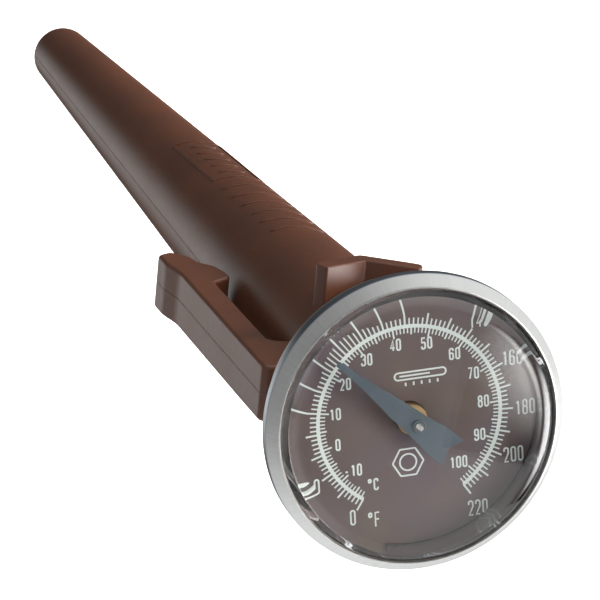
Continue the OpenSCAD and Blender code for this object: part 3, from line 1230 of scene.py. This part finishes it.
    def _bulb_sign(self, pen: Pen) -> None:
        """Draws a plain bulb thermometer lying on its side, over a short row of ticks.

        Args:
            pen: the pen that draws it.
        """
        left, right, y, half = -1.2, 3.6, 3.9, 0.34
        end_r = half * 0.98
        tube = [(left, y - half, end_r), (right, y - half, end_r), (right, y + half, end_r),
                (left, y + half, end_r)]
        pen.stroke(self._turned(tube), True)
        pen.stroke(self._turned([(left + 0.45, y, 0), (right - 1.5, y, 0)]), False)
        for k in range(5):
            x = left + 1.0 + 0.75 * k
            pen.stroke(self._turned([(x, y - 0.95, 0), (x, y - 0.62, 0)]), False)

    def print(self) -> bpy.types.Object:
        """Builds the print as one thin raised piece.

        Returns:
            The print.
        """
        shape = Shape()
        self._scales(shape)
        pen = Pen(self.ink_half, self.lift)
        self._words(pen)
        self._nut_sign(pen)
        self._bulb_sign(pen)
        pen.mesh(shape, self.levels.dial)
        bmesh.ops.recalc_face_normals(shape.bm, faces=shape.bm.faces[:])
        return fitted(shape.object("dial_print"), self.finishes.ink, "dial_face", "head")


@dataclass
class Head:
    """The case, bezel, lens and what they hold."""

    levels: Levels
    finishes: Finishes
    sheet_t: float = 0.4
    case_t: float = 0.5
    case_corner: float = 2.4
    cone_in: float = 0.90
    lip_w: float = 0.20
    skirt_t: float = 0.55
    crown_rise: float = 1.8
    crown_r: float = 99.2
    shoulder_r: float = 2.45
    under_rise: float = 0.85
    lens_t: float = 1.0
    neck_r: float = 3.05
    play: float = 0.05
    curl_depth: float = 0.3
    curl_t: float = 0.36
    lip_depth: float = 0.55
    flange_t: float = 0.66
    lens_play: float = 0.1
    lip_play: float = 0.08
    ledge_drop: float = 0.65
    edge_drop: float = 0.25

    def bezel(self) -> bpy.types.Object:
        """Builds the crimped ring with its rim, cone and rolled lip.

        Returns:
            The bezel.
        """
        lv = self.levels
        rim, low, top = lv.rim_r, lv.rim_low, lv.crest
        rim_z = lv.flange + self.play
        crest_r = rim - self.cone_in
        slope = self.cone_in / (top - rim_z)
        inner = rim - self.sheet_t
        curl_in = lv.case_r - self.curl_depth
        under = top - self.lip_depth
        profile = filleted([
            (curl_in, low, 0.10), (rim, low, 0.20), (rim, rim_z, 0.22),
            (crest_r + 0.02, top - 0.04, 0.10), (crest_r - 0.10, top, 0.04),
            (crest_r - self.lip_w, top - 0.10, 0.05), (crest_r - self.lip_w, under, 0.04),
            (inner - slope * (under - rim_z), under, 0.03), (inner, rim_z, 0.05),
            (inner, low + self.curl_t, 0.05), (curl_in, low + self.curl_t, 0.05),
        ], True, 6)
        piece = Shape().turned(profile, 240).object("bezel", 50.0)
        return fitted(piece, self.finishes.bezel, "case_steel", "head", "bezel_ring")

    @property
    def case_wall_r(self) -> float:
        """The outer radius of the case below its flange."""
        return self.levels.rim_r - 2 * self.sheet_t - self.play

    def case(self) -> bpy.types.Object:
        """Builds the drawn cup behind the bezel, with its flange.

        Returns:
            The case.
        """
        lv = self.levels
        wall, bore = self.case_wall_r, self.case_wall_r - self.case_t
        back, floor = lv.case_back, lv.case_back + self.case_t
        low_flange = lv.flange - self.flange_t
        profile = filleted([
            (self.neck_r, back, 0.12), (wall, back, self.case_corner), (wall, low_flange, 0.12),
            (lv.case_r, low_flange, 0.05), (lv.case_r, lv.flange, 0.05), (bore, lv.flange, 0.12),
            (bore, floor, self.case_corner - self.case_t), (self.neck_r, floor, 0.05),
        ], True, 8)
        piece = Shape().turned(profile, 200).object("case", 50.0)
        return fitted(piece, self.finishes.case, "case_steel", "head", "head_case")

    def lens(self) -> bpy.types.Object:
        """Builds the clear domed lens with its thick skirt.

        Returns:
            The lens.
        """
        lv = self.levels
        outer = self.case_wall_r - self.case_t - self.lens_play
        inner = outer - self.skirt_t
        ledge = lv.crest - self.ledge_drop
        top_r = lv.rim_r - self.cone_in - self.lip_w - self.lip_play
        edge = lv.crest - self.edge_drop
        under = edge + self.crown_rise - self.lens_t - self.under_rise
        corners = filleted([
            (inner, under, 0.0), (inner, lv.dial, 0.10), (outer, lv.dial, 0.10),
            (outer, lv.gasket_top, 0.05), (lv.lens_r, lv.gasket_top, 0.08),
            (lv.lens_r, ledge, 0.10), (top_r, ledge, 0.08), (top_r, edge, 0.0),
        ], False, 4)
        top = crown(top_r, edge, self.crown_rise, self.crown_r, self.shoulder_r, 32)
        below = dome(inner, under, self.under_rise, 36)
        profile = below[::-1][:-1] + corners + top[1:]
        piece = Shape().turned(profile, 256, closed=False).object("lens_piece", 40.0)
        piece.visible_shadow = False
        return fitted(piece, self.finishes.lens, "clear_plastic", "head", "lens")

    def build(self) -> None:
        """Builds the head's pieces and dresses those kept from the frame."""
        self.bezel()
        self.case()
        self.lens()
        dial = Dial(self.levels, self.finishes)
        dial.plate()
        dial.print()
        dressed("dial_spacer", self.finishes.spacer)
        dressed("lens_gasket", self.finishes.gasket)


# -------------------------------------------------------------------- pointer


@dataclass
class Pointer:
    """The pointer, its hub and shaft, refined from the frame's own shapes."""

    finishes: Finishes

    def _refined(self, node: str, width: float, finish: bpy.types.Material, slot: str) -> None:
        """Replaces a node by a copy with its sharp edges eased."""
        shape = Shape().from_node(node).softened(width, 2, 40.0)
        fitted(shape.object(node + "_piece", 35.0, True), finish, slot, "pointer", node)

    def build(self) -> None:
        """Builds the pieces."""
        self._refined("pointer", 0.035, self.finishes.pointer, "pointer_metal")
        self._refined("pointer_hub", 0.06, self.finishes.pointer, "pointer_metal")
        dressed("pointer_shaft", self.finishes.shaft)
        dressed("coil_collar", self.finishes.brass)


# ----------------------------------------------------------------------- stem


@dataclass
class Stem:
    """The stem, its nut, and the parts inside and round its neck."""

    levels: Levels
    finishes: Finishes
    wall: float = 0.3
    tip_l: float = 7.0
    plug_l: float = 8.2
    weld_half: float = 0.04
    weld_depth: float = 0.03
    groove_above_tip: float = 50.0
    groove_half: float = 0.25
    groove_depth: float = 0.06
    neck_in: float = 0.2

    def tube(self) -> bpy.types.Object:
        """Builds the stem with its sensing-length groove and welded tip in one skin.

        Returns:
            The stem.
        """
        r, end = self.levels.stem_r, self.levels.stem_end
        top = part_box("stem_tube")[1].z / MM
        bore = r - self.wall
        neck = r - self.neck_in
        weld = end + self.tip_l + self.weld_half
        groove = end + self.groove_above_tip
        profile = filleted([
            (0.0, end, 0), (r, end, 1.15), (r, weld - self.weld_half, 0), (r - self.weld_depth, weld, 0),
            (r, weld + self.weld_half, 0), (r, groove - self.groove_half, 0.05),
            (r - self.groove_depth, groove, 0.1), (r, groove + self.groove_half, 0.05),
            (r, 0.0, 0.02), (neck, 0.0, 0), (neck, top, 0.05), (neck - self.wall, top, 0.02),
            (neck - self.wall, -1.0, 0), (bore, -1.3, 0), (bore, end + self.plug_l, 0),
            (0.0, end + self.plug_l, 0),
        ], False, 8)
        piece = Shape().turned(profile, 96, closed=False).object("stem")
        return fitted(piece, self.finishes.stem, "stem_steel", "stem", "stem_tube", "stem_tip")

    def nut(self) -> bpy.types.Object:
        """Builds the nut from the frame's shape with its edges eased.

        Returns:
            The nut.
        """
        shape = Shape().from_node("calibration_nut").softened(0.10, 2, 25.0)
        piece = shape.object("nut", 30.0, True)
        return fitted(piece, self.finishes.nut, "nut_steel", "stem", "calibration_nut")

    def build(self) -> None:
        """Builds the pieces and dresses those kept from the frame."""
        self.tube()
        self.nut()
        for node in ("upper_guide", "lower_guide", "coil_anchor"):
            dressed(node, self.finishes.brass)
        for node in ("friction_washer", "retaining_ring"):
            dressed(node, self.finishes.case)
        dressed("bimetal_coil", self.finishes.bimetal)
        dressed("stem_seal", self.finishes.seal)


# --------------------------------------------------------------------- sheath


@dataclass
class Sheath:
    """The tapered sheath with its wrench cradle and pocket clip."""

    levels: Levels
    finishes: Finishes
    mouth_r: float = 7.95
    end_r: float = 3.25
    seat_r: float = 5.535
    bore_top_r: float = 5.035
    bore_end_r: float = 2.55
    bore_end: float = -132.7
    flat_y: float = 7.4
    cradle_t: float = 1.8
    cradle_vertex: float = -9.585
    cradle_side: float = 5.185
    hole_z: float = -4.1
    hole_r: float = 2.1
    clip_half: float = 2.65
    clip_t: float = 2.8
    clip_in: float = 9.3
    root_low: float = -7.5
    foot_l: float = 7.8
    mark_low: float = -71.5
    mark_half: float = 2.7
    frame_l: float = 17.0
    frame_line: float = 0.34
    mark_lift: float = 0.14
    mark_step: float = 0.7

    def radius(self, z: float) -> float:
        """The outer radius at a height."""
        share = (self.levels.mouth - z) / (self.levels.mouth - self.levels.sheath_end)
        return self.mouth_r - (self.mouth_r - self.end_r) * share

    def _cradle(self) -> bpy.types.Object:
        """Builds the V that holds the nut's flats.

        Returns:
            The block, as a tool that is added to the tube.
        """
        side, t = self.cradle_side, self.cradle_t
        cos, sin = math.cos(math.pi / 6), math.sin(math.pi / 6)
        z = self.cradle_vertex
        arm_x, arm_z = side * cos, z + side * sin
        right = [(arm_x, arm_z, 0.25), (arm_x + t * sin, arm_z - t * cos, 0.8), (0.0, z - t / cos, 0.6)]
        left = [(-x, y, r) for x, y, r in reversed(right[:2])]
        outline = filleted([(0.0, z, 0.15)] + right + left, True, 5)
        shape = Shape().prism(outline, self.seat_r - 0.6, self.levels.cradle_y)
        top = self.levels.cradle_y - 0.01
        shape.softened(0.22, 3, 40.0, lambda p: p.y > top)
        return shape.object("cradle_block")

    def tube(self) -> bpy.types.Object:
        """Builds the tube with its cradle, nut seat and cross hole.

        Returns:
            The tube.
        """
        lv = self.levels
        past, aside = lv.mouth + 2, 9
        lead_in, seat_z = self.seat_r + 0.25, -0.05
        outer = filleted(
            [(0.0, lv.mouth, 0), (self.mouth_r, lv.mouth, 0.45)]
            + [(self.radius(z), z, 0) for z in (-20.0, -60.0, -100.0)]
            + [(self.radius(lv.sheath_end), lv.sheath_end, 2.0), (0.0, lv.sheath_end, 0)],
            False, 8)
        bore = filleted([
            (0.0, past, 0), (lead_in, past, 0), (lead_in, lv.mouth, 0.1),
            (self.seat_r, lv.mouth - 0.35, 0.2), (self.seat_r, seat_z, 0), (self.bore_top_r, seat_z, 0.15),
            (self.bore_end_r, self.bore_end, 1.0), (0.0, self.bore_end, 0),
        ], False, 4)
        tube = Shape().turned(outer, 144, closed=False).object("sheath_piece")
        flat = Shape().box((-aside, self.flat_y, self.cradle_vertex), (aside, 12, past)).object("flat_cut")
        joined(tube, [flat], Join.CUT)
        joined(tube, [self._cradle()], Join.ADD)
        hole = Shape().rod(self.hole_r, Vector((0, -12, self.hole_z)), Vector((0, 12, self.hole_z)))
        cuts = [Shape().turned(bore, 96, closed=False).object("bore_cut"), hole.object("hole_cut")]
        joined(tube, cuts, Join.CUT)
        shape = Shape()
        shape.bm.from_mesh(tube.data)
        shape.moved(Matrix.Diagonal((1 / MM, 1 / MM, 1 / MM, 1.0)))
        bpy.data.objects.remove(tube)
        shape.clean(0.004)
        piece = shape.object("sheath_piece", 30.0, True)
        return fitted(piece, self.finishes.sheath, "sheath_plastic", "sheath", "sheath")

    def _clip_outline(self) -> list[Point]:
        """The clip's profile, seen along Y, with the root that joins it to the tube.

        Returns:
            The points of its outline.
        """
        low = self.levels.clip_low.z
        out, inn = -self.clip_in - self.clip_t, -self.clip_in
        foot = low + self.foot_l
        toe = self.levels.clip_high.x
        top = self.levels.mouth
        buried = -self.seat_r - 1.2
        notch = self.root_low + 0.2
        return filleted([
            (buried, top, 0), (out, top, 0.7), (out, self.root_low, 0), (out + 0.1, foot - 0.2, 9.0),
            (out - 0.5, foot - 3.5, 6.0), (out - 0.5, low + 1.2, 0.9), (out + 1.0, low, 0.7),
            (inn - 0.1, low + 1.9, 0.9), (inn + 0.3, low + 3.8, 1.6), (toe - 0.55, foot - 2.8, 0.9),
            (toe, foot - 0.6, 0.7), (toe, foot + 0.5, 0.7), (toe - 0.25, foot + 1.4, 0.7),
            (inn, foot + 2.9, 1.2), (inn, notch, 1.1), (buried, notch, 0),
        ], True, 6)

    def clip(self) -> bpy.types.Object:
        """Builds the clip and its root as one piece.

        Returns:
            The clip.
        """
        shape = Shape().prism(self._clip_outline(), -self.clip_half, self.clip_half)
        shape.softened(0.38, 4, 60.0, lambda p: abs(p.y) > self.clip_half - 0.01)
        low = self.levels.clip_low.z
        shape.sliced(2, [self.root_low - 0.8 * k for k in range(-3, 14)])
        shape.sliced(2, [low + 4.0 * k for k in range(1, 5)])
        shape.sliced(1, [-1.0, 1.0])
        piece = shape.object("clip_piece", 40.0, True)
        piece.data.materials.append(self.finishes.sheath)
        x = -self.clip_in - self.clip_t / 2
        start = Vector((x, 0.0, self.root_low + 1.2)) * MM
        end = Vector((x, 0.0, self.root_low - 4.5)) * MM
        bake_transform(piece)
        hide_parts("pocket_clip")
        LOG.info("clip_piece bends from sheath to clip, stands for pocket_clip")
        return piece

    def _mark(self, shape: Shape, low: float, high: float, left: float, right: float) -> None:
        """Adds one raised bar, flat, with its length along X and its width along Y.

        Args:
            shape: the shape that it is added to.
            low: where along X it starts.
            high: where along X it ends.
            left: where along Y it starts.
            right: where along Y it ends.
        """
        part = Shape().box((low, left, 0.0), (high, right, 1.0))
        part.softened(min(high - low, right - left) * 0.3, 3, 50.0, lambda p: abs(p.z - 0.5) < 0.1)
        for axis, start, end in ((0, low, high), (1, left, right)):
            pieces = math.ceil((end - start) / self.mark_step)
            part.sliced(axis, [start + (end - start) * k / pieces for k in range(1, pieces)])
        mesh = bpy.data.meshes.new("bar")
        part.bm.to_mesh(mesh)
        part.bm.free()
        shape.bm.from_mesh(mesh)
        bpy.data.meshes.remove(mesh)

    def marks(self) -> bpy.types.Object:
        """Builds a raised plain frame with a row of grip bars on the cradle's side of the tube.

        Returns:
            The marks.
        """
        low, half, line = self.mark_low, self.mark_half, self.frame_line
        high = low + self.frame_l
        shape = Shape()
        self._mark(shape, low, high, -half, -half + line)
        self._mark(shape, low, high, half - line, half)
        self._mark(shape, low, low + line, -half + line, half - line)
        self._mark(shape, high - line, high, -half + line, half - line)
        for k in range(5):
            z = low + 2.6 + 2.9 * k
            self._mark(shape, z - 0.35, z + 0.35, -half * 0.5, half * 0.5)
        for k in range(6):
            z = high + 3.4 + 3.7 * k
            self._mark(shape, z - 0.4, z + 0.4, -half, half)

        def onto_tube(p: Vector) -> Vector:
            """Wraps the flat marks round the tube.

            Args:
                p: a place on them.

            Returns:
                Where it goes.
            """
            r = self.radius(p.x) + (self.mark_lift if p.z > 0.5 else -0.3)
            a = math.pi / 2 - p.y / self.radius(p.x)
            return Vector((r * math.cos(a), r * math.sin(a), p.x))

        shape.shaped(onto_tube)
        bmesh.ops.recalc_face_normals(shape.bm, faces=shape.bm.faces[:])
        shape.softened(0.06, 2, 60.0, lambda p: math.hypot(p.x, p.y) > self.radius(p.z))
        return fitted(shape.object("sheath_marks", 40.0), self.finishes.sheath, "sheath_plastic", "sheath")

    def build(self) -> None:
        """Builds the pieces."""
        self.tube()
        self.marks()
        self.clip()


# --------------------------------------------------------------------- studio


@dataclass
class Studio:
    """The pale floor, the soft lights and the camera."""

    levels: Levels
    floor_drop: float = 120.0
    floor_r: float = 2.5
    floor_glow: float = 0.75
    low_light: float = 0.04
    round_light: float = 0.30
    side_light: float = 0.85
    lens_mm: float = 296.4
    rim_z: float = 9.8
    right: Vector = field(default_factory=lambda: Vector((0.9598, 0.0901, 0.2659)))
    up: Vector = field(default_factory=lambda: Vector((-0.0138, 0.9611, -0.2757)))
    distance: float = 441.7
    aim: tuple[float, float] = (10.38, -11.06)

    def camera(self) -> None:
        """Sets the camera that looks down on the dial, with the sheath running away to the upper left."""
        right = self.right.normalized()
        up = (self.up - right * self.up.dot(right)).normalized()
        back = right.cross(up)
        rim = Vector((0.0, 0.0, self.rim_z))
        place = rim - right * self.aim[0] - up * self.aim[1] + back * self.distance
        data = bpy.data.cameras.new("camera")
        data.lens = self.lens_mm
        data.sensor_width = 36.0
        data.clip_start, data.clip_end = 0.01, 20.0
        made = bpy.data.objects.new("camera", data)
        turn = Matrix((right, up, back)).transposed().to_4x4()
        made.matrix_world = Matrix.Translation(place * MM) @ turn
        bpy.context.scene.collection.objects.link(made)
        bpy.context.scene.camera = made

    def _panel(self, name: str, towards: Vector, distance: float, half: float,
               glow: GlowPanel) -> bpy.types.Object:
        """Hangs a square panel that faces the dial and that the camera doesn't see.

        Args:
            name: its name.
            towards: its direction from the dial.
            distance: how far off it hangs, in metres.
            half: half its side, in metres.
            glow: its finish.

        Returns:
            The panel.
        """
        bm = bmesh.new()
        bmesh.ops.create_grid(bm, x_segments=1, y_segments=1, size=half, calc_uvs=True)
        layer = bm.loops.layers.uv.verify()
        for face in bm.faces:
            for loop in face.loops:
                loop[layer].uv = (loop.vert.co.x / half / 2 + 0.5, loop.vert.co.y / half / 2 + 0.5)
        turn = towards.to_track_quat("Z", "Y").to_matrix().to_4x4()
        place = Matrix.Translation(towards.normalized() * distance)
        bmesh.ops.transform(bm, matrix=place @ turn, verts=bm.verts[:])
        mesh = bpy.data.meshes.new(name)
        bm.to_mesh(mesh)
        bm.free()
        made = bpy.data.objects.new(name, mesh)
        made.visible_camera = False
        mesh.materials.append(glow.make())
        bpy.context.scene.collection.objects.link(made)
        return made

    def floor(self) -> None:
        """Lays the pale lit floor, which neither gloss nor diffuse light sees."""
        bm = bmesh.new()
        bmesh.ops.create_circle(bm, cap_ends=True, radius=self.floor_r, segments=64)
        z = (self.levels.sheath_end - self.floor_drop) * MM
        bmesh.ops.translate(bm, vec=(0, 0, z), verts=bm.verts[:])
        mesh = bpy.data.meshes.new("floor")
        bm.to_mesh(mesh)
        bm.free()
        sheet = Sheet("floor_paint")
        pale = sheet.mix(sheet.noise(3.0, 2.0), (0.90, 0.90, 0.90), (0.93, 0.93, 0.93))
        mesh.materials.append(sheet.finish(
            Base_Color=pale,
            Roughness=0.8,
            Emission_Color=(1.0, 1.0, 1.0),
            Emission_Strength=self.floor_glow,
        ))
        made = bpy.data.objects.new("floor", mesh)
        made.visible_glossy = False
        made.visible_diffuse = False
        bpy.context.scene.collection.objects.link(made)

    def world(self) -> None:
        """Sets the light all round, which is brighter to one side and fades out low down and overhead."""
        sheet = Sheet("studio_light", True)
        direction = sheet.node("ShaderNodeTexCoord").outputs["Generated"]
        parts = sheet.node("ShaderNodeSeparateXYZ", None, {0: direction}).outputs
        x, y, z = (Signal(sheet, part) for part in parts)
        side = (x * 0.85 - y * 0.35).fade(-0.9, 0.15)
        low = z.fade(-0.93, -0.45)
        top = z.fade(0.97, 0.72)
        peak = self.low_light + self.round_light + self.side_light
        share = (self.low_light + (self.round_light + self.side_light * side) * low * top) / peak
        glow = sheet.mix(share, (0.0, 0.0, 0.0), (0.97, 0.985, 1.0))
        background = sheet.node("ShaderNodeBackground", None, {"Color": glow, "Strength": peak})
        sheet.node("ShaderNodeOutputWorld", None, {"Surface": background.outputs[0]})
        bpy.context.scene.world = sheet.material
        bpy.context.scene.view_settings.view_transform = "Standard"

    def lights(self) -> None:
        """Hangs the soft panels, and the card that only gloss sees."""
        self._panel("key_panel", Vector((0.655, -0.05, 0.755)), distance=0.9, half=0.29,
                    glow=GlowPanel("key_glow", (1.0, 0.985, 0.96), strength=14.2, core=0.05))
        self._panel("fill_panel", Vector((-0.80, 0.15, 0.55)), distance=1.1, half=0.40,
                    glow=GlowPanel("fill_glow", (0.93, 0.97, 1.0), strength=1.4, core=0.2))
        warm = self._panel("warm_panel", Vector((0.85, 0.52, 0.05)), distance=1.1, half=0.45,
                           glow=GlowPanel("warm_glow", (1.0, 0.80, 0.62), strength=17.0, core=0.2))
        warm.visible_glossy = False
        self._panel("right_panel", Vector((0.94, -0.24, 0.16)), distance=1.1, half=0.50,
                    glow=GlowPanel("right_glow", (1.0, 1.0, 1.0), strength=13.0, core=0.3))
        card = self._panel("low_card", Vector((-0.33, -0.19, -0.92)), distance=1.2, half=0.42,
                           glow=GlowPanel("card_glow", (0.98, 0.98, 0.97), strength=1.7, core=0.0))
        card.visible_diffuse = False

    def build(self) -> None:
        """Builds the studio."""
        self.camera()
        self.floor()
        self.world()
        self.lights()


def main() -> None:
    """Builds the object and its studio."""
    logging.basicConfig(level=logging.INFO, format="%(name)s: %(message)s")
    levels = Levels.measured()
    finishes = Finishes.mixed(levels.flange + Head.play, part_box("pointer_shaft")[1].z / MM)
    Studio(levels).build()
    Head(levels, finishes).build()
    Pointer(finishes).build()
    Stem(levels, finishes).build()
    Sheath(levels, finishes).build()


if __name__ == "__main__":
    main()
